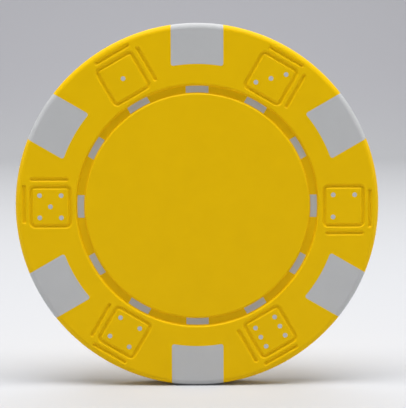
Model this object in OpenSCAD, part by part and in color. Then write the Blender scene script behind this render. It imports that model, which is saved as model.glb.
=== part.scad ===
// Dice-pattern poker chip, standing on its rim with its front face towards -Y.
// A steel slug sits in a white moulded core, and a yellow body is moulded over both.
// Both faces carry the same pattern, so the chip looks alike from the front and from behind.

/* [Chip] */
// Diameter over the rim
chip_d = 39; // [36:0.5:42]
// Thickness over the flat faces
chip_t = 3.3; // [2.8:0.1:4]
// Rounding of the two edges of the rim
rim_round = 0.65; // [0.4:0.05:1.3]

/* [Ring channel] */
// Width of the outer ring, from the channel to the rim
ring_w = 6.55; // [6.2:0.05:7.5]
// Width of the channel
channel_w = 0.9; // [0.7:0.05:1.2]
// Depth of the channel below the face
channel_depth = 0.36; // [0.2:0.01:0.4]
// Rounding of the channel's lips
lip_round = 0.2; // [0.05:0.01:0.2]
// Rounding where the channel's walls meet its floor
root_round = 0.1; // [0.05:0.01:0.15]

/* [Edge spots] */
// Number of edge spots, and of dice between them
spot_count = 6; // [4:1:6]
// Width of a spot
spot_w = 5.55; // [4:0.05:6.5]
// Length of a spot, in from the rim
spot_len = 4.35; // [3:0.05:5.5]
// Rounding of a spot's inner corners
spot_corner = 0.25; // [0.1:0.05:0.5]

/* [Dashes] */
// Number of dashes round the channel
dash_count = 12; // [6:1:18]
// Length of a dash along the channel
dash_len = 2.4; // [1.5:0.1:4]
// How far the claws below the dashes run on under the channel's walls
claw_reach = 0.2; // [0.15:0.05:0.4]

/* [Dice] */
// Distance from the rim in to the dice's centres
die_inset = 3.8; // [3.6:0.05:4]
// Width of a die's outline along the rim
die_w = 4.2; // [3.6:0.1:4.6]
// Height of a die's outline along the radius
die_h = 4.15; // [3.6:0.05:4.4]
// Corner radius of the outline
die_corner = 0.4; // [0.3:0.05:0.8]
// Gap from the outline to the line outside it
outer_gap = 0.72; // [0.6:0.02:0.8]
// How far the outer line is pushed clockwise
outer_shift = 0.28; // [0:0.02:0.4]
// Gap from the outline to the line on its clockwise side
side_gap = 0.82; // [0.6:0.02:0.9]
// How far the side line is pushed outwards
side_shift = 0.12; // [0:0.02:0.4]
// Width of the lines at the face
groove_w = 0.44; // [0.3:0.02:0.5]
// Depth of the lines
groove_depth = 0.18; // [0.1:0.01:0.2]

/* [Pips] */
// Diameter of a pip
pip_d = 0.5; // [0.4:0.02:0.8]
// Distance between pips along the radius
pip_pitch_radial = 1.15; // [0.9:0.05:1.3]
// Distance between pips along the rim
pip_pitch_round = 1.19; // [0.9:0.01:1.3]

/* [Slug] */
// Thickness of the steel slug and of the core's ring round it
slug_t = 1.9; // [1.2:0.1:2.2]
// Number of flow holes through the slug
flow_count = 6; // [3:1:8]
// Diameter of the flow holes
flow_d = 2.4; // [1.5:0.1:3]
// Diameter of the circle through the flow holes
flow_ring_d = 14; // [10:0.5:16]

/* [Core] */
// Reach of the core's ring past the outermost pips
core_margin = 0.25; // [0.1:0.05:0.6]

/* [Hidden] */
$fn = 96;

// How far cuts run past the face that they open
overrun = 1;

chip_r = chip_d / 2;
channel_r = chip_r - ring_w;
disc_r = channel_r - channel_w;
ring_mid_r = chip_r - ring_w / 2;
face_z = chip_t / 2;
floor_z = face_z - channel_depth;

// The slug's rim lies below the middle of the channel, where the claws hold it.
slug_r = disc_r + channel_w / 2;
claw_in_r = disc_r - claw_reach;
claw_out_r = channel_r + claw_reach;

spot_r = chip_r - spot_len;
spot_corner_y = spot_w / 2 - spot_corner;
spot_corner_x = sqrt(pow(spot_r + spot_corner, 2) - pow(spot_corner_y, 2));
// Half the length of the inner edge, up to where its corner roundings start
spot_edge_y = spot_corner_y * spot_r / (spot_r + spot_corner);

set_turn = 360 / spot_count;
dash_turn = 360 / dash_count;
die_r = chip_r - die_inset;
core_r = norm([die_r + pip_pitch_radial, pip_pitch_round]) + pip_d / 2 + core_margin;

// The lines are cut by a round-nosed profile of this radius, whose centre is just above the face.
groove_r = (pow(groove_w / 2, 2) + pow(groove_depth, 2)) / (2 * groove_depth);
groove_z = face_z + groove_r - groove_depth;

// Pips of each die, anticlockwise from the right, as shares of the pitch: outwards, then anticlockwise
pip_shares = [
    [[1, 1], [-1, 1], [-1, -1]],
    [[1, -1], [0, 0], [-1, 1]],
    [[0, 0]],
    [[1, 1], [1, -1], [0, 0], [-1, 1], [-1, -1]],
    [[1, 1], [1, -1], [-1, 1], [-1, -1]],
    [[1, 1], [1, -1], [0, 1], [0, -1], [-1, 1], [-1, -1]]
];

// Stands the chip up: the modules below draw it lying down, with its front face up.
module stand() rotate([90, 0, 0]) children();

// Repeats a face's pattern on the back, turned about the upright line through the chip's middle.
module on_both_faces() {
    for (turn = [0, 180]) rotate([0, turn, 0]) children();
}

// Section of a plate as thick as the chip, from the axis to len, with its outer edges rounded
module plate_section(len, edge_round) {
    flat_t = chip_t - 2 * edge_round;
    translate([0, -chip_t / 2]) square([len - edge_round, chip_t]);
    translate([0, -flat_t / 2]) square([len, flat_t]);
    for (side = [-1, 1])
        translate([len - edge_round, side * flat_t / 2]) circle(edge_round);
}

// Section of the fillet in the channel's corner, drawn at the origin with its hollow up and to the right
module root_section() {
    difference() {
        square(root_round);
        translate([root_round, root_round]) circle(root_round);
    }
}

// The whole chip as one revolved solid, with the channel in both faces
module chip_blank() {
    rotate_extrude() {
        plate_section(disc_r, lip_round);
        translate([0, -floor_z]) square([ring_mid_r, 2 * floor_z]);
        translate([ring_mid_r, 0]) plate_section(chip_r - ring_mid_r, rim_round);
        translate([ring_mid_r, 0]) mirror([1, 0]) plate_section(ring_mid_r - channel_r, lip_round);
        for (side = [0, 1]) mirror([0, side]) {
            translate([disc_r, floor_z]) root_section();
            translate([channel_r, floor_z]) mirror([1, 0]) root_section();
        }
    }
}

// Outline of an edge spot on the face, running past the rim
module spot_plan() {
    translate([spot_corner_x, -spot_w / 2]) square([chip_r + overrun - spot_corner_x, spot_w]);
    difference() {
        translate([0, -spot_edge_y]) square([spot_corner_x, 2 * spot_edge_y]);
        circle(spot_r);
    }
    for (side = [-1, 1])
        translate([spot_corner_x, side * spot_corner_y]) circle(spot_corner);
}

module spot_blocks() {
    block_t = chip_t + 2 * overrun;
    for (i = [0 : spot_count - 1])
        rotate((i + 0.5) * set_turn)
            translate([0, 0, -block_t / 2]) linear_extrude(block_t) spot_plan();
}

// Claws that reach over the slug's rim: their tops are the dashes in the channel's floor.
module claws() {
    for (i = [0 : dash_count - 1])
        rotate(i * dash_turn)
            translate([claw_in_r, -dash_len / 2, 0]) cube([claw_out_r - claw_in_r, dash_len, floor_z]);
}

// Pegs from the core's ring up to the face and past it: cut flush, their ends are the pips.
module pip_pegs() {
    for (i = [0 : spot_count - 1])
        for (share = pip_shares[i])
            rotate(i * set_turn)
                translate([die_r + share[0] * pip_pitch_radial, share[1] * pip_pitch_round, 0])
                    cylinder(d = pip_d, h = face_z + overrun);
}

// Room of the slug without its holes
module slug_room() {
    cylinder(r = slug_r, h = slug_t, center = true);
}

// Room that the core takes in the body, running past the faces and the rim
module core_room() {
    difference() {
        union() {
            cylinder(r = core_r, h = slug_t, center = true);
            spot_blocks();
            on_both_faces() {
                claws();
                pip_pegs();
            }
        }
        slug_room();
    }
}

// One straight line of the die pattern, with round ends, centred on the origin
module groove_line(len) {
    rotate([0, 90, 0]) cylinder(r = groove_r, h = len, center = true);
    for (side = [-1, 1]) translate([side * len / 2, 0, 0]) sphere(groove_r);
}

// Closed outline of a die with rounded corners, centred on the origin
module groove_outline() {
    run_x = die_h - 2 * die_corner;
    run_y = die_w - 2 * die_corner;
    for (side = [-1, 1]) {
        translate([0, side * die_w / 2, 0])
            rotate([0, 90, 0]) cylinder(r = groove_r, h = run_x, center = true);
        translate([side * die_h / 2, 0, 0])
            rotate([90, 0, 0]) cylinder(r = groove_r, h = run_y, center = true);
    }
    for (corner = [0 : 3])
        mirror([corner % 2, 0, 0]) mirror([0, floor(corner / 2), 0])
            translate([run_x / 2, run_y / 2, 0])
                rotate_extrude(angle = 90) translate([die_corner, 0]) circle(groove_r);
}

// The die pattern: an outline, a line outside it towards the rim, and one on its clockwise side
module die_lines() {
    for (i = [0 : spot_count - 1])
        rotate(i * set_turn) translate([die_r, 0, groove_z]) {
            groove_outline();
            translate([die_h / 2 + outer_gap, -outer_shift, 0]) rotate(90) groove_line(die_w - groove_w);
            translate([side_shift, -die_w / 2 - side_gap, 0]) groove_line(die_h - groove_w);
        }
}

// Stamped steel disc with flow holes, which the body fills
module steel_slug() {
    color("silver") stand() difference() {
        slug_room();
        for (i = [0 : flow_count - 1])
            rotate(i * 360 / flow_count) translate([flow_ring_d / 2, 0, 0])
                cylinder(d = flow_d, h = slug_t + 2 * overrun, center = true);
    }
}

// White first shot: the ring round the slug, the edge spots, the dashes and the pips
module inlay_core() {
    color("whitesmoke") stand() intersection() {
        chip_blank();
        core_room();
    }
}

// Yellow second shot, moulded over the core and the slug
module chip_body() {
    color("gold") difference() {
        stand() difference() {
            chip_blank();
            core_room();
            on_both_faces() die_lines();
        }
        steel_slug();
    }
}

steel_slug();
inlay_core();
chip_body();
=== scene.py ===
import math

import bpy
import numpy
from mathutils import Euler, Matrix, Vector, geometry, kdtree


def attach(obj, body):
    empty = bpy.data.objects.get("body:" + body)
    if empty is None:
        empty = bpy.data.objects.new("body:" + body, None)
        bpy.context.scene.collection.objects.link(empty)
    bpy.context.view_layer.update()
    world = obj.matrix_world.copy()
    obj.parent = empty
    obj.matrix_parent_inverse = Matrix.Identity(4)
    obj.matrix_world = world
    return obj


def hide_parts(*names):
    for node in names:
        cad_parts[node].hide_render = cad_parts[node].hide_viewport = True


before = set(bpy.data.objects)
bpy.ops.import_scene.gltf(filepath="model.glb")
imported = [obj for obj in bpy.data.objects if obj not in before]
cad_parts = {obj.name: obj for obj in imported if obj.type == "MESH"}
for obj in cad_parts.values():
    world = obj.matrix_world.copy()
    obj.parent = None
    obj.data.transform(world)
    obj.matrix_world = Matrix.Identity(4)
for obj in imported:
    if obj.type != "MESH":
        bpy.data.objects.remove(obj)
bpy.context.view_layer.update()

mm = 0.001  # the pieces' sizes below are in millimetres, the stage's in metres
weldStep = 0.00005  # corners closer than this, in millimetres, are one point


# sRGB hex to the linear values that the shaders want
def toLinear(hexColour):
    channels = [int(hexColour[i:i + 2], 16) / 255 for i in (1, 3, 5)]
    return [c / 12.92 if c <= 0.04045 else ((c + 0.055) / 1.055) ** 2.4 for c in channels] + [1]


# Adds a node: settings are its properties, values its unlinked sockets, links its linked ones
def addNode(tree, kind, settings=None, values=None, links=None):
    node = tree.nodes.new(kind)
    for name, value in (settings or {}).items():
        setattr(node, name, value)
    for socket, value in (values or {}).items():
        node.inputs[socket].default_value = value
    for socket, source in (links or {}).items():
        tree.links.new(source, node.inputs[socket])
    return node


# The chip's sizes in millimetres, the same as in part.scad, and the steps of its roundings
chip = {
    "radius": 19.5,
    "thickness": 3.3,
    "rimRound": 0.65,
    "ringWidth": 6.55,
    "channelWidth": 0.9,
    "channelDepth": 0.36,
    "lipRound": 0.2,
    "rootRound": 0.1,
    "lipSteps": 6,
    "rootSteps": 4,
    "rimJoin": 0.45,  # in from the rim: as far as the face's pattern runs onto the rounding
    "sets": 6,  # edge spots, and dice between them
}
faceW = chip["thickness"] / 2
floorW = faceW - chip["channelDepth"]
channelR = chip["radius"] - chip["ringWidth"]
discR = channelR - chip["channelWidth"]
discFlatR = discR - chip["lipRound"]
ringFlatR = channelR + chip["lipRound"]
rimFlatR = chip["radius"] - chip["rimRound"]
rimJoinR = chip["radius"] - chip["rimJoin"]
setTurn = 2 * math.pi / chip["sets"]


# How far the rim's rounding has dropped below the face at this radius, and its slope there
def rimDrop(r):
    if r <= rimFlatR:
        return 0, 0
    slope = math.asin((r - rimFlatR) / chip["rimRound"])
    return chip["rimRound"] * (1 - math.cos(slope)), slope


# Lays a corner of the face's pattern, and its normal, over the start of the rounding
def laidOver(p, n):
    r = math.hypot(p[0], p[1])
    drop, slope = rimDrop(r)
    if not slope:
        return p, n
    cu, cv = p[0] / r, p[1] / r
    out, across = n[0] * cu + n[1] * cv, n[1] * cu - n[0] * cv
    leanedOut = out * math.cos(slope) + n[2] * math.sin(slope)
    lift = n[2] * math.cos(slope) - out * math.sin(slope)
    return (p[0], p[1], p[2] - drop), (leanedOut * cu - across * cv, leanedOut * cv + across * cu, lift)


# A moulding collects faces in the lying chip's axes: u right, v up and w out of the front face.
# Every corner carries its own normal, so flats stay flat and roundings run smoothly into them.
class Moulding:
    def __init__(self):
        self.points = []
        self.known = {}
        self.faces = []
        self.normals = []

    def corner(self, p):
        key = tuple(round(c / weldStep) for c in p)
        if key not in self.known:
            self.known[key] = len(self.points)
            self.points.append(p)
        return self.known[key]

    def add(self, corners, normals):
        ids, kept = [], []
        for p, n in zip(corners, normals):
            i = self.corner(p)
            if i not in ids:
                ids.append(i)
                kept.append(n)
        if len(ids) > 2:
            self.faces.append(ids)
            self.normals.append(kept)

    # normals may be one for the whole face or one for each corner
    def front(self, corners, normals):
        if not isinstance(normals[0], tuple):
            normals = [normals] * len(corners)
        self.add([(u, -w, v) for u, v, w in corners], [(u, -w, v) for u, v, w in normals])

    # The rear is the front turned half round about the upright line
    def both(self, corners, normals):
        if not isinstance(normals[0], tuple):
            normals = [normals] * len(corners)
        corners, normals = zip(*[laidOver(p, n) for p, n in zip(corners, normals)])
        self.front(corners, normals)
        self.add([(-u, w, v) for u, v, w in corners], [(-u, w, v) for u, v, w in normals])

    def build(self, name):
        mesh = bpy.data.meshes.new(name)
        mesh.from_pydata([[c * mm for c in p] for p in self.points], [], self.faces)
        mesh.polygons.foreach_set("use_smooth", [True] * len(mesh.polygons))
        mesh.normals_split_custom_set([n for face in self.normals for n in face])
        mesh.update()
        piece = bpy.data.objects.new(name, mesh)
        bpy.context.scene.collection.objects.link(piece)
        print(name, len(self.points), "points", len(self.faces), "faces")
        return piece


yellow = Moulding()
white = Moulding()
up = (0, 0, 1)


def turned(p, angle):
    c, s = math.cos(angle), math.sin(angle)
    return (p[0] * c - p[1] * s, p[0] * s + p[1] * c)


def polar(r, angle):
    return (r * math.cos(angle), r * math.sin(angle))


def steps(a, b, count):
    return [a + (b - a) * i / count for i in range(count + 1)]


# Points along straight stretches, close enough for even triangles on the flats
def stretch(a, b, pitch):
    count = max(1, round(math.dist(a, b) / pitch))
    return [tuple(x + (y - x) * i / count for x, y in zip(a, b)) for i in range(count + 1)]


flat = {"pitch": 0.9, "roundRings": 4, "roundColumns": 360, "ringClear": 0.06, "tolerance": 1e-6}


# Fills the area between closed loops, holes and islands by turns, with even triangles
def fillFlat(loops):
    coords, edges = [], []
    pitch = flat["pitch"]
    for loop in loops:
        first = len(coords)
        coords += loop
        edges += [(first + i, first + (i + 1) % len(loop)) for i in range(len(loop))]
    near = kdtree.KDTree(len(coords))
    for i, p in enumerate(coords):
        near.insert((p[0], p[1], 0), i)
    near.balance()
    reach = max(math.hypot(*p) for p in coords)
    rows = int(reach / pitch) + 1
    gridR = min(reach, rimFlatR - pitch / 2)
    for row in range(-rows, rows + 1):  # a grid of even triangles, clear of the loops
        for column in range(-rows, rows + 1):
            p = ((column + (row % 2) / 2) * pitch, row * pitch * math.sin(math.pi / 3))
            if math.hypot(*p) < gridR and near.find((p[0], p[1], 0))[2] > pitch / 2:
                coords.append(p)
    rings = steps(rimFlatR, rimJoinR, flat["roundRings"])[:-1] if reach > rimFlatR else []
    for r in rings:  # points that carry the start of the rounding
        for a in steps(0, 2 * math.pi, flat["roundColumns"])[:-1]:
            p = polar(r, a)
            if near.find((p[0], p[1], 0))[2] > flat["ringClear"]:
                coords.append(p)
    plane = [Vector(p) for p in coords]
    _, _, faces, source, *_ = geometry.delaunay_2d_cdt(plane, edges, [], 0, flat["tolerance"])
    corners = numpy.array([[coords[source[i][0]] for i in face] for face in faces])  # exact points again
    middles = corners.mean(axis=1)
    inside = numpy.zeros(len(middles), bool)
    for loop in loops:  # even-odd count of the edges to the right of each triangle's middle
        for (u0, v0), (u1, v1) in zip(loop, loop[1:] + loop[:1]):
            level = (v0 > middles[:, 1]) != (v1 > middles[:, 1])
            if level.any():
                inside ^= level & (middles[:, 0] < u0 + (middles[:, 1] - v0) * (u1 - u0) / (v1 - v0 or 1))
    return [[tuple(map(float, p)) for p in triangle] for triangle in corners[inside]]


# Profiles are rows of (radius, w, normal outwards, normal w)
def arcProfile(centre, radius, start, end, count, hollow=False):
    rows = []
    for a in steps(math.radians(start), math.radians(end), count):
        c, s = math.cos(a), math.sin(a)
        n = (-c, -s) if hollow else (c, s)
        rows.append((centre[0] + radius * c, centre[1] + radius * s) + n)
    return rows


# Angles round the chip that fall on the straight sides of the spots or dashes at this radius
def sideAngles(r, turns, offset, halfWidth, insideSteps, outsideSteps):
    half = math.asin(halfWidth / r)
    pitch = 2 * math.pi / turns
    angles = []
    for k in range(turns):
        middle = (k + offset) * pitch
        angles += steps(middle - half, middle + half, insideSteps)[:-1]
        angles += steps(middle + half, middle + pitch - half, outsideSteps)[:-1]
    return angles


# Adds the revolved faces between profile rows, into the moulding that chooseMoulding names by column
def revolve(profile, anglesAt, chooseMoulding, addFace):
    rings = [anglesAt(row[0]) for row in profile]
    count = len(rings[0])
    for i in range(len(profile) - 1):
        for j in range(count):
            corners, normals = [], []
            for row, column in ((i, j), (i + 1, j), (i + 1, (j + 1) % count), (i, (j + 1) % count)):
                r, w, nr, nw = profile[row]
                angle = rings[row][column]
                corners.append(polar(r, angle) + (w,))
                normals.append(polar(nr, angle) + (nw,))
            addFace(chooseMoulding(j), corners, normals)


# Ring channel: rounded lips, fillets at the floor, and the dashes flush in the floor
dash = {"count": 12, "length": 2.4, "depth": 0.4, "dashSteps": 12, "gapSteps": 18}


def dashAngles(r):
    return sideAngles(r, dash["count"], 0, dash["length"] / 2, dash["dashSteps"], dash["gapSteps"])


def isDash(column):
    return column % (dash["dashSteps"] + dash["gapSteps"]) < dash["dashSteps"]


lip, root = chip["lipRound"], chip["rootRound"]
lipSteps, rootSteps = chip["lipSteps"], chip["rootSteps"]
innerWall = arcProfile((discFlatR, faceW - lip), lip, 90, 0, lipSteps)
innerWall += arcProfile((discR + root, floorW + root), root, 180, 270, rootSteps, True)
outerWall = arcProfile((channelR - root, floorW + root), root, 270, 360, rootSteps, True)
outerWall += arcProfile((ringFlatR, faceW - lip), lip, 180, 90, lipSteps)
channelFloor = [(discR + root, floorW, 0, 1), (channelR - root, floorW, 0, 1)]
for profile in (innerWall, outerWall):
    revolve(profile, dashAngles, lambda j: yellow, Moulding.both)
revolve(channelFloor, dashAngles, lambda j: white if isDash(j) else yellow, Moulding.both)

# The dashes are blocks let into the floor
for k in range(dash["count"]):
    first = k * (dash["dashSteps"] + dash["gapSteps"])
    columns = range(first, first + dash["dashSteps"] + 1)
    inner = [polar(discR + root, dashAngles(discR + root)[j]) for j in columns]
    outer = [polar(channelR - root, dashAngles(channelR - root)[j]) for j in columns]
    loop = outer + inner[::-1]  # anticlockwise seen from the front
    bottom = [p + (floorW - dash["depth"],) for p in loop]
    top = [p + (floorW,) for p in loop]
    white.both(bottom[::-1], (0, 0, -1))
    yellow.both(bottom, up)
    for i in range(len(loop)):
        j = (i + 1) % len(loop)
        side = [bottom[i], bottom[j], top[j], top[i]]
        du, dv = loop[j][0] - loop[i][0], loop[j][1] - loop[i][1]
        length = math.hypot(du, dv)
        white.both(side, (dv / length, -du / length, 0))
        yellow.both(side[::-1], (-dv / length, du / length, 0))
print("channel and dashes done")

# Edge spots: straight sides, a curved inner edge with small corners, through the whole thickness
spot = {
    "width": 5.55, "length": 4.35, "corner": 0.25, "spotSteps": 18, "gapSteps": 44, "roundSteps": 12,
    "sidePitch": 0.1, "cornerSteps": 6, "edgeSteps": 16,
}
halfSpot = spot["width"] / 2


def spotAngles(r):
    return sideAngles(r, chip["sets"], 0.5, halfSpot, spot["spotSteps"], spot["gapSteps"])


def isSpot(column):
    return column % (spot["spotSteps"] + spot["gapSteps"]) < spot["spotSteps"]


rim = chip["rimRound"]
joinAngle = 90 - math.degrees(rimDrop(rimJoinR)[1])
frontRound = arcProfile((rimFlatR, faceW - rim), rim, joinAngle, 0, spot["roundSteps"])
rearRound = arcProfile((rimFlatR, rim - faceW), rim, 0, -joinAngle, spot["roundSteps"])
rimProfile = frontRound + rearRound
revolve(rimProfile, spotAngles, lambda j: white if isSpot(j) else yellow, Moulding.front)

# A spot's outline, from the rim in along one side, round its inner edge and out again
spotR = chip["radius"] - spot["length"]
cornerV = halfSpot - spot["corner"]
cornerU = math.sqrt((spotR + spot["corner"]) ** 2 - cornerV ** 2)
cornerAngle = math.asin(cornerV / (spotR + spot["corner"]))
sideStart = (math.sqrt(rimJoinR ** 2 - halfSpot ** 2), halfSpot)
sideLine = stretch(sideStart, (cornerU, halfSpot), spot["sidePitch"])
cornerArc = [
    (cornerU + spot["corner"] * math.cos(a), cornerV + spot["corner"] * math.sin(a))
    for a in steps(math.pi / 2, math.pi + cornerAngle, spot["cornerSteps"])
]
innerEdge = [polar(spotR, a) for a in steps(cornerAngle, -cornerAngle, spot["edgeSteps"])]
otherCorner = [(u, -v) for u, v in cornerArc[::-1]]
innerPath = cornerArc + innerEdge[1:-1] + otherCorner
spotPath = sideLine[:-1] + innerPath + [(u, -v) for u, v in sideLine[::-1]][1:]

ringLoop = []  # the ring's outer outline, round the gaps and in along the spots
rimAngles = spotAngles(rimJoinR)
for k in range(chip["sets"]):
    middle = (k + 0.5) * setTurn
    first = k * (spot["spotSteps"] + spot["gapSteps"])
    spotRim = [polar(rimJoinR, a) for a in rimAngles[first:first + spot["spotSteps"] + 1]]
    gapFirst = first + spot["spotSteps"]
    gapRim = [polar(rimJoinR, a) for a in rimAngles[gapFirst:gapFirst + spot["gapSteps"]]]
    path = [turned(p, middle) for p in spotPath]
    ringLoop += path[::-1][:-1] + gapRim
    for triangle in fillFlat([spotRim + path[1:-1]]):
        white.both([p + (faceW,) for p in triangle], up)
    # walls between the spot and the body
    wallPath = [turned(p, middle) for p in innerPath]
    for a, b in zip(wallPath, wallPath[1:]):
        wall = [a + (faceW,), b + (faceW,), b + (-faceW,), a + (-faceW,)]
        du, dv = b[0] - a[0], b[1] - a[1]
        length = math.hypot(du, dv)
        white.front(wall[::-1], (dv / length, -du / length, 0))
        yellow.front(wall, (-dv / length, du / length, 0))
    for side in (1, -1):
        edge = [(u, v * side) for u, v in sideLine]
        top = [p + (faceW - rimDrop(math.hypot(*p))[0],) for p in edge]
        wall = top[::-1]
        for r, w, *_ in rimProfile[1:-1]:
            wall.append((math.sqrt(r * r - halfSpot ** 2), side * halfSpot, w))
        wall += [(u, v, -w) for u, v, w in top]
        wall = [turned(p, middle) + (p[2],) for p in wall]
        out = turned((0, side), middle) + (0,)
        back = tuple(-c for c in out)
        white.front(wall[::side], out)
        yellow.front(wall[::-side], back)
print("rim and edge spots done")

# Dice: an outline and two single lines, pressed in with a round nose.
# The solids have the same lines 0.44 wide with sharp lips, and the soft lips are added here.
die = {
    "inset": 3.8,
    "width": 4.2,
    "height": 4.15,
    "corner": 0.4,
    "outerGap": 0.72,
    "outerShift": 0.28,
    "sideGap": 0.82,
    "sideShift": 0.12,
    "lineEnd": 0.22,
    "grooveWidth": 0.6,  # over the lips
    "grooveDepth": 0.18,
    "grooveLip": 0.13,
    "pitch": 0.45,
    "noseSteps": 5,
    "lipSteps": 4,
    "cornerSteps": 6,
    "endSteps": 10,
}
dieR = chip["radius"] - die["inset"]
halfGroove = die["grooveWidth"] / 2
arcsR = (halfGroove ** 2 + die["grooveDepth"] ** 2) / (2 * die["grooveDepth"])
noseR = arcsR - die["grooveLip"]
slope = math.degrees(math.asin(halfGroove / arcsR))
noseW = faceW + noseR - die["grooveDepth"]
lipMiddle = (halfGroove, faceW - die["grooveLip"])
halfProfile = arcProfile((0, noseW), noseR, -90, slope - 90, die["noseSteps"], True)
halfProfile += arcProfile(lipMiddle, die["grooveLip"], 90 + slope, 90, die["lipSteps"])[1:]
fullProfile = [(-x, w, -nx, nw) for x, w, nx, nw in halfProfile[:0:-1]] + halfProfile


# Sweeps the groove along rows of (u, v, left u, left v), and returns its two edges on the flat
def sweepGroove(path, closed):
    count = len(path)
    for j in range(count if closed else count - 1):
        for i in range(len(fullProfile) - 1):
            corners, normals = [], []
            for row, k in ((i, j), (i, j + 1), (i + 1, j + 1), (i + 1, j)):
                u, v, lu, lv = path[k % count]
                x, w, nx, nw = fullProfile[row]
                corners.append((u + lu * x, v + lv * x, w))
                normals.append((lu * nx, lv * nx, nw))
            yellow.both(corners, normals)
    return [[(u + lu * x, v + lv * x) for u, v, lu, lv in path] for x in (-halfGroove, halfGroove)]


# A closed outline with round corners, anticlockwise, in the die's own axes
def outlinePath():
    path = []
    runU, runV = die["height"] / 2 - die["corner"], die["width"] / 2 - die["corner"]
    for quarter, (su, sv) in enumerate(((1, 1), (-1, 1), (-1, -1), (1, -1))):
        arc = steps(quarter * math.pi / 2, (quarter + 1) * math.pi / 2, die["cornerSteps"])
        for a in arc:
            c, s = math.cos(a), math.sin(a)
            path.append((su * runU + die["corner"] * c, sv * runV + die["corner"] * s, -c, -s))
        end = path[-1]
        nu, nv = ((-1, 1), (-1, -1), (1, -1), (1, 1))[quarter]
        c, s = math.cos(arc[-1]), math.sin(arc[-1])
        goal = (nu * runU + die["corner"] * c, nv * runV + die["corner"] * s)
        path += [p + end[2:] for p in stretch(end[:2], goal, die["pitch"])[1:-1]]
    return path


def placed(path, k):
    moved = [(u + dieR, v) + tuple(rest) for u, v, *rest in path]
    turn = k * setTurn
    return [turned(p[:2], turn) + (turned(p[2:], turn) if len(p) > 2 else ()) for p in moved]


# A single line between two points with round ends; returns its outline on the flat
def singleLine(a, b, k):
    length = math.dist(a, b)
    du, dv = (b[0] - a[0]) / length, (b[1] - a[1]) / length
    path = placed([p + (-dv, du) for p in stretch(a, b, die["pitch"])], k)
    right, left = sweepGroove(path, False)
    ends = []
    for point, sign in ((path[-1], 1), (path[0], -1)):
        u, v, lu, lv = point
        sideways, ahead = (lu * sign, lv * sign), (lv * sign, -lu * sign)
        angles = steps(-math.pi / 2, math.pi / 2, die["endSteps"])
        for a0, a1 in zip(angles, angles[1:]):
            for i in range(len(halfProfile) - 1):
                corners, normals = [], []
                for row, angle in ((i, a0), (i + 1, a0), (i + 1, a1), (i, a1)):
                    x, w, nx, nw = halfProfile[row]
                    c, s = math.cos(angle), math.sin(angle)
                    eu, ev = ahead[0] * c + sideways[0] * s, ahead[1] * c + sideways[1] * s
                    corners.append((u + eu * x, v + ev * x, w))
                    normals.append((eu * nx, ev * nx, nw))
                yellow.both(corners, normals)
        ends.append([
            (
                u + halfGroove * (ahead[0] * math.cos(a) + sideways[0] * math.sin(a)),
                v + halfGroove * (ahead[1] * math.cos(a) + sideways[1] * math.sin(a)),
            )
            for a in angles[1:-1]
        ])
    return right + ends[0] + left[::-1] + ends[1]


# Pips: the flush ends of white pegs, by die anticlockwise from the right, in shares of the pitch
pip = {"diameter": 0.5, "pitchU": 1.15, "pitchV": 1.19, "depth": 0.7, "sides": 24}
pipShares = [
    [(1, 1), (-1, 1), (-1, -1)],
    [(1, -1), (0, 0), (-1, 1)],
    [(0, 0)],
    [(1, 1), (1, -1), (0, 0), (-1, 1), (-1, -1)],
    [(1, 1), (1, -1), (-1, 1), (-1, -1)],
    [(1, 1), (1, -1), (0, 1), (0, -1), (-1, 1), (-1, -1)],
]

holes = []
for k in range(chip["sets"]):
    holes += sweepGroove(placed(outlinePath(), k), True)
    lineU = die["height"] / 2 + die["outerGap"]
    lineV = -die["width"] / 2 - die["sideGap"]
    halfV, halfU = die["width"] / 2 - die["lineEnd"], die["height"] / 2 - die["lineEnd"]
    shiftV, shiftU = die["outerShift"], die["sideShift"]
    holes.append(singleLine((lineU, -shiftV - halfV), (lineU, -shiftV + halfV), k))
    holes.append(singleLine((shiftU - halfU, lineV), (shiftU + halfU, lineV), k))
    for shareU, shareV in pipShares[k]:
        middle = placed([(shareU * pip["pitchU"], shareV * pip["pitchV"])], k)[0]
        pipAngles = [2 * math.pi * i / pip["sides"] for i in range(pip["sides"])]
        around = [polar(1, a) for a in pipAngles]
        pipR = pip["diameter"] / 2
        loop = [(middle[0] + pipR * u, middle[1] + pipR * v) for u, v in around]
        holes.append(loop)
        top = [p + (faceW,) for p in loop]
        bottom = [p + (faceW - pip["depth"],) for p in loop]
        white.both(top, up)
        white.both(bottom[::-1], (0, 0, -1))
        yellow.both(bottom, up)
        for i in range(len(loop)):
            j = (i + 1) % len(loop)
            side = [bottom[i], bottom[j], top[j], top[i]]
            normals = [around[i] + (0,), around[j] + (0,), around[j] + (0,), around[i] + (0,)]
            white.both(side, normals)
            yellow.both(side[::-1], [tuple(-c for c in n) for n in normals[::-1]])

ringHole = [polar(ringFlatR, a) for a in dashAngles(ringFlatR)]
discEdge = [polar(discFlatR, a) for a in dashAngles(discFlatR)]
for triangle in fillFlat([ringLoop, ringHole] + holes) + fillFlat([discEdge]):
    yellow.both([p + (faceW,) for p in triangle], up)
print("dice, pips and flats done")

bodyShell = yellow.build("body_moulding")
inlayShell = white.build("inlay_moulding")
shells = (
    (bodyShell, "chip_body", "yellow_plastic"),
    (inlayShell, "inlay_core", "white_plastic"),
)
for piece, node, slot in shells:
    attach(piece, "root")
    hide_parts(node)


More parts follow.
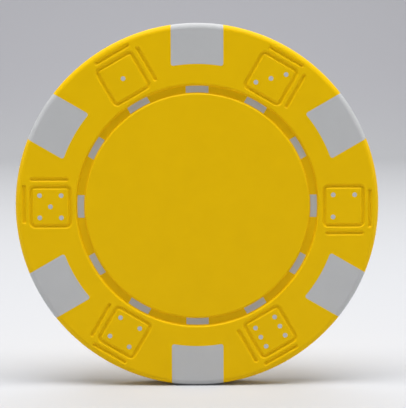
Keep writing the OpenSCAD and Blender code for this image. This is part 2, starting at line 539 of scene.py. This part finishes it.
# Moulded filled ABS: an even satin with faint flow clouds and the fine grain of a spark-eroded mould.
# The real grain is about 0.05 mm, too fine to show, so it is drawn three times as coarse.
def mouldedAbs(name, look):
    material = bpy.data.materials.new(name)
    material.use_nodes = True
    tree = material.node_tree
    tree.nodes.clear()
    place = addNode(tree, "ShaderNodeTexCoord")
    clouds = addNode(
        tree, "ShaderNodeTexNoise",
        values={"Scale": 1 / (look["cloudSize"] * mm), "Detail": 3, "Roughness": 0.5},
        links={"Vector": place.outputs["Object"]},
    )
    grain = addNode(
        tree, "ShaderNodeTexNoise",
        values={"Scale": 1 / (look["grainSize"] * mm), "Detail": 2, "Roughness": 0.6},
        links={"Vector": place.outputs["Object"]},
    )
    tint = addNode(
        tree, "ShaderNodeMix", settings={"data_type": "RGBA"},
        links={0: clouds.outputs[0]},
    )
    tint.inputs[6].default_value = toLinear(look["dark"])
    tint.inputs[7].default_value = toLinear(look["light"])
    rough = addNode(
        tree, "ShaderNodeMapRange",
        values={"To Min": look["rough"][0], "To Max": look["rough"][1]},
        links={"Value": grain.outputs[0]},
    )
    bump = addNode(
        tree, "ShaderNodeBump",
        values={"Strength": look["bump"], "Distance": look["grainHeight"] * mm},
        links={"Height": grain.outputs[0]},
    )
    shader = addNode(
        tree, "ShaderNodeBsdfPrincipled",
        values={"IOR": 1.5, "Specular IOR Level": look["specular"]},
        links={
            "Base Color": tint.outputs[2],
            "Roughness": rough.outputs["Result"],
            "Normal": bump.outputs["Normal"],
        },
    )
    addNode(tree, "ShaderNodeOutputMaterial", links={"Surface": shader.outputs["BSDF"]})
    return material


yellowLook = {
    "dark": "#EABC00", "light": "#F0C200", "cloudSize": 2.5, "grainSize": 0.15,
    "grainHeight": 0.004, "bump": 0.5, "rough": (0.4, 0.5), "specular": 0.08,
}
whiteLook = {
    "dark": "#BBBCBD", "light": "#C1C2C3", "cloudSize": 2.5, "grainSize": 0.15,
    "grainHeight": 0.004, "bump": 0.5, "rough": (0.4, 0.5), "specular": 0.08,
}
bodyShell.data.materials.append(mouldedAbs("moulded filled ABS yellow", yellowLook))
inlayShell.data.materials.append(mouldedAbs("moulded filled ABS white", whiteLook))

# Stamped mild steel for the sealed slug: rolled streaks along one way, dull from the press
slugLook = {
    "dark": "#8E8F92", "light": "#B4B5B8", "streakLength": 6, "streakWidth": 0.2, "rough": (0.32, 0.5),
}
steel = bpy.data.materials.new("stamped mild steel")
steel.use_nodes = True
steelTree = steel.node_tree
steelTree.nodes.clear()
steelPlace = addNode(steelTree, "ShaderNodeTexCoord")
streakScale = [1 / (slugLook["streakLength"] * mm)] + [1 / (slugLook["streakWidth"] * mm)] * 2
stretched = addNode(
    steelTree, "ShaderNodeMapping",
    values={"Scale": streakScale},
    links={"Vector": steelPlace.outputs["Object"]},
)
streaks = addNode(
    steelTree, "ShaderNodeTexNoise",
    values={"Scale": 1, "Detail": 4},
    links={"Vector": stretched.outputs["Vector"]},
)
steelTint = addNode(
    steelTree, "ShaderNodeMix", settings={"data_type": "RGBA"},
    links={0: streaks.outputs[0]},
)
steelTint.inputs[6].default_value = toLinear(slugLook["dark"])
steelTint.inputs[7].default_value = toLinear(slugLook["light"])
steelRough = addNode(
    steelTree, "ShaderNodeMapRange",
    values={"To Min": slugLook["rough"][0], "To Max": slugLook["rough"][1]},
    links={"Value": streaks.outputs[0]},
)
steelShader = addNode(
    steelTree, "ShaderNodeBsdfPrincipled", values={"Metallic": 1},
    links={"Base Color": steelTint.outputs[2], "Roughness": steelRough.outputs["Result"]},
)
addNode(steelTree, "ShaderNodeOutputMaterial", links={"Surface": steelShader.outputs["BSDF"]})
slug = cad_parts["steel_slug"]
slug.data.materials.clear()
slug.data.materials.append(steel)
print("materials done")

# Camera at the photograph's angle: a little above the chip and nearly straight on.
# Its distance and elevation are in millimetres and degrees, the moves in pixels of the picture.
view = {
    "distance": 120, "elevation": 4.2, "azimuth": -0.69, "roll": -0.133,
    "lens": 98.95, "sensor": 36, "imageSide": 408, "moveX": 5.61, "moveY": 2.28, "clip": (0.005, 20),
}
cameraData = bpy.data.cameras.new("photo_camera")
camera = bpy.data.objects.new("photo_camera", cameraData)
bpy.context.scene.collection.objects.link(camera)
bpy.context.scene.camera = camera
faceMiddle = Vector((0, -faceW * mm, 0))
azimuth, elevation = math.radians(view["azimuth"]), math.radians(view["elevation"])
back = Vector((
    math.sin(azimuth) * math.cos(elevation), -math.cos(azimuth) * math.cos(elevation), math.sin(elevation)
))
camera.location = faceMiddle + back * view["distance"] * mm
aim = (-back).to_track_quat("-Z", "Y")
camera.rotation_mode = "QUATERNION"
camera.rotation_quaternion = aim @ Euler((0, 0, math.radians(view["roll"]))).to_quaternion()
cameraData.lens = view["lens"]
cameraData.sensor_width = view["sensor"]
cameraData.shift_x = view["moveX"] / view["imageSide"]
cameraData.shift_y = view["moveY"] / view["imageSide"]
cameraData.clip_start, cameraData.clip_end = view["clip"]

# Grey paper sweep: floor under the chip, curving up well behind it
sweep = {"rows": (-1.4, -0.3, 0, 0.3, 0.75), "bend": 0.3, "bendSteps": 16, "height": 1.1, "half": 1.6}
bendStart = sweep["rows"][-1]
floorZ = -chip["radius"] * mm
sweepLine = [(y, floorZ) for y in sweep["rows"]]
for a in steps(0, math.pi / 2, sweep["bendSteps"])[1:]:
    sweepLine.append((bendStart + sweep["bend"] * math.sin(a), floorZ + sweep["bend"] * (1 - math.cos(a))))
sweepLine.append((bendStart + sweep["bend"], floorZ + sweep["height"]))
sweepPoints = [(x, y, z) for y, z in sweepLine for x in (-sweep["half"], sweep["half"])]
sweepFaces = [(2 * i, 2 * i + 1, 2 * i + 3, 2 * i + 2) for i in range(len(sweepLine) - 1)]
sweepMesh = bpy.data.meshes.new("paper_sweep")
sweepMesh.from_pydata(sweepPoints, [], sweepFaces)
sweepMesh.polygons.foreach_set("use_smooth", [True] * len(sweepFaces))
paperSweep = bpy.data.objects.new("paper_sweep", sweepMesh)
bpy.context.scene.collection.objects.link(paperSweep)

# Matt studio paper, a cool light grey, with painted shade: its colour turns a darker, cooler grey where it
# curves up behind the chip.
# In front of the chip and far out to its sides it clears into the grey of the room, for the camera alone.
# The far grey is painted shade on the paper where it curves up, not a second paper colour
paperLook = {"near": "#C0C1C4", "far": "#B8B8BD", "fade": (0.78, 0.98), "clear": (0.3, 0.55)}
paper = bpy.data.materials.new("matt studio paper")
paper.use_nodes = True
paperTree = paper.node_tree
paperTree.nodes.clear()
paperPlace = addNode(paperTree, "ShaderNodeTexCoord")
paperAxes = addNode(paperTree, "ShaderNodeSeparateXYZ", links={"Vector": paperPlace.outputs["Object"]})
# Painted shade: along the paper's depth its colour fades from the near grey to the darker far grey
paperShadeFade = addNode(
    paperTree, "ShaderNodeMapRange", settings={"interpolation_type": "SMOOTHSTEP"},
    values={"From Min": paperLook["fade"][0], "From Max": paperLook["fade"][1]},
    links={"Value": paperAxes.outputs["Y"]},
)
paperTintAndShade = addNode(
    paperTree, "ShaderNodeMix", settings={"data_type": "RGBA"}, links={0: paperShadeFade.outputs["Result"]}
)
paperTintAndShade.inputs[6].default_value = toLinear(paperLook["near"])
paperTintAndShade.inputs[7].default_value = toLinear(paperLook["far"])
paperShader = addNode(paperTree, "ShaderNodeBsdfDiffuse", links={"Color": paperTintAndShade.outputs[2]})
paperFront = addNode(
    paperTree, "ShaderNodeMath", settings={"operation": "MINIMUM"}, values={1: 0},
    links={0: paperAxes.outputs["Y"]},
)
paperOut = addNode(
    paperTree, "ShaderNodeCombineXYZ", links={"X": paperAxes.outputs["X"], "Y": paperFront.outputs["Value"]}
)
paperReach = addNode(
    paperTree, "ShaderNodeVectorMath", settings={"operation": "LENGTH"}, links={0: paperOut.outputs["Vector"]}
)
paperToRoom = addNode(
    paperTree, "ShaderNodeMapRange", settings={"interpolation_type": "SMOOTHSTEP"},
    values={"From Min": paperLook["clear"][0], "From Max": paperLook["clear"][1]},
    links={"Value": paperReach.outputs["Value"]},
)
paperPath = addNode(paperTree, "ShaderNodeLightPath")
paperSeen = addNode(
    paperTree, "ShaderNodeMath", settings={"operation": "MULTIPLY"},
    links={0: paperToRoom.outputs["Result"], 1: paperPath.outputs["Is Camera Ray"]},
)
paperClear = addNode(paperTree, "ShaderNodeBsdfTransparent")
paperMix = addNode(
    paperTree, "ShaderNodeMixShader",
    links={0: paperSeen.outputs["Value"], 1: paperShader.outputs["BSDF"], 2: paperClear.outputs["BSDF"]},
)
addNode(paperTree, "ShaderNodeOutputMaterial", links={"Surface": paperMix.outputs["Shader"]})
sweepMesh.materials.append(paper)

# Soft studio light: a bank in front of the chip that grazes its face from above, one over the far paper,
# two weak side banks and a dim even room. Each bank's place, aim and size are in metres.
lights = {
    "top": {"at": (0, -0.1, 0.5), "aim": (0, 0, 0), "size": (0.6, 0.25), "power": 3.6},
    "far": {"at": (0, 0.6, 0.8), "aim": (0, 0.65, 0), "size": (1.2, 0.5), "power": 5.4},
    "left": {"at": (-0.55, -0.08, 0.15), "aim": (0, 0, 0), "size": (0.3, 0.4), "power": 0.7},
    "right": {"at": (0.55, -0.08, 0.15), "aim": (0, 0, 0), "size": (0.3, 0.4), "power": 0.85},
}
for name, light in lights.items():
    lampData = bpy.data.lights.new(name + "_bank", "AREA")
    lampData.shape = "RECTANGLE"
    lampData.size, lampData.size_y = light["size"]
    lampData.energy = light["power"]
    lamp = bpy.data.objects.new(name + "_bank", lampData)
    lamp.location = light["at"]
    lamp.rotation_mode = "QUATERNION"
    lamp.rotation_quaternion = (Vector(light["aim"]) - Vector(light["at"])).to_track_quat("-Z", "Y")
    bpy.context.scene.collection.objects.link(lamp)

roomLook = {"colour": "#FFFFFF", "strength": 0.22, "shown": "#C4C4C9"}
room = bpy.data.worlds.new("pale_room")
bpy.context.scene.world = room
room.use_nodes = True
roomTree = room.node_tree
roomTree.nodes.clear()
roomLight = addNode(
    roomTree, "ShaderNodeBackground",
    values={"Color": toLinear(roomLook["colour"]), "Strength": roomLook["strength"]},
)
# Past the paper's edges the camera sees the room in the paper's own grey
roomShown = addNode(roomTree, "ShaderNodeBackground", values={"Color": toLinear(roomLook["shown"])})
roomPath = addNode(roomTree, "ShaderNodeLightPath")
roomMix = addNode(
    roomTree, "ShaderNodeMixShader",
    links={
        0: roomPath.outputs["Is Camera Ray"],
        1: roomLight.outputs["Background"],
        2: roomShown.outputs["Background"],
    },
)
addNode(roomTree, "ShaderNodeOutputWorld", links={"Surface": roomMix.outputs["Shader"]})
print("camera, sweep and lights done")

bpy.context.scene.view_settings.view_transform = "Standard"
